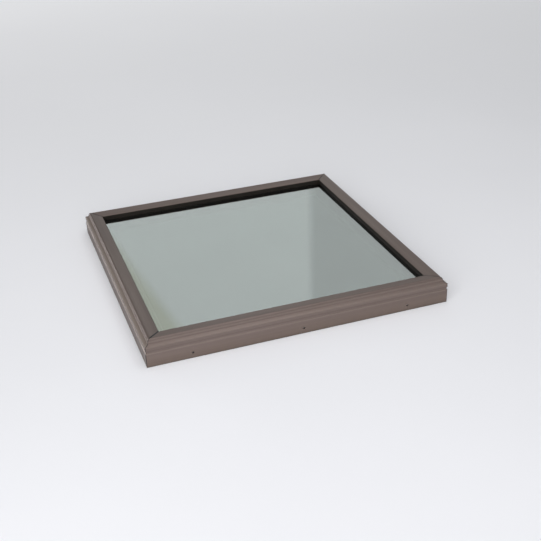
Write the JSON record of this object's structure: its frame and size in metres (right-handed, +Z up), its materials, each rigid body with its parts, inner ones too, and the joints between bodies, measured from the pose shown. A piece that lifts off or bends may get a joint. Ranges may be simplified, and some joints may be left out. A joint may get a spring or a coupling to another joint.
{
  "type": "roof skylight",
  "caption": "Fixed curb-mounted roof skylight: a mitred bronze aluminium frame with a drilled skirt and a ridged crown around a flat insulating glass unit.",
  "frame": {"origin": "middle of the plan, level with the skirt's foot", "axes": "+X along the front side to the right, +Y to the back, +Z up out of the roof"},
  "size_m": [0.664, 0.664, 0.0581],
  "materials": {
    "frame_metal": "bronze, satin",
    "key_metal": "cast",
    "screw_steel": "zinc plated",
    "gasket_rubber": "matt",
    "outer_glass": "clear, pale green",
    "spacer_steel": "tinned",
    "edge_sealant": "matt",
    "inner_glass": "clear, pale green",
    "block_rubber": "matt",
    "bedding_tape": "matt",
    "seat_vinyl": "matt",
    "curb_foam": "closed-cell foam"
  },
  "bodies": {
    "root": {"frame_front": "frame_metal", "frame_right": "frame_metal", "frame_back": "frame_metal", "frame_left": "frame_metal", "corner_key_front_right": "key_metal", "corner_key_back_right": "key_metal", "corner_key_back_left": "key_metal", "corner_key_front_left": "key_metal", "corner_key_screws": "screw_steel", "glazing_gasket_front": "gasket_rubber", "glazing_gasket_right": "gasket_rubber", "glazing_gasket_back": "gasket_rubber", "glazing_gasket_left": "gasket_rubber", "outer_pane": "outer_glass", "spacer_bar": "spacer_steel", "edge_seal": "edge_sealant", "inner_pane": "inner_glass", "edge_blocks": "block_rubber", "bedding_tape_front": "bedding_tape", "bedding_tape_right": "bedding_tape", "bedding_tape_back": "bedding_tape", "bedding_tape_left": "bedding_tape", "seat_frame": "seat_vinyl", "seat_screws": "screw_steel", "curb_seal_front": "curb_foam", "curb_seal_right": "curb_foam", "curb_seal_back": "curb_foam", "curb_seal_left": "curb_foam"}
  },
  "joints": []
}
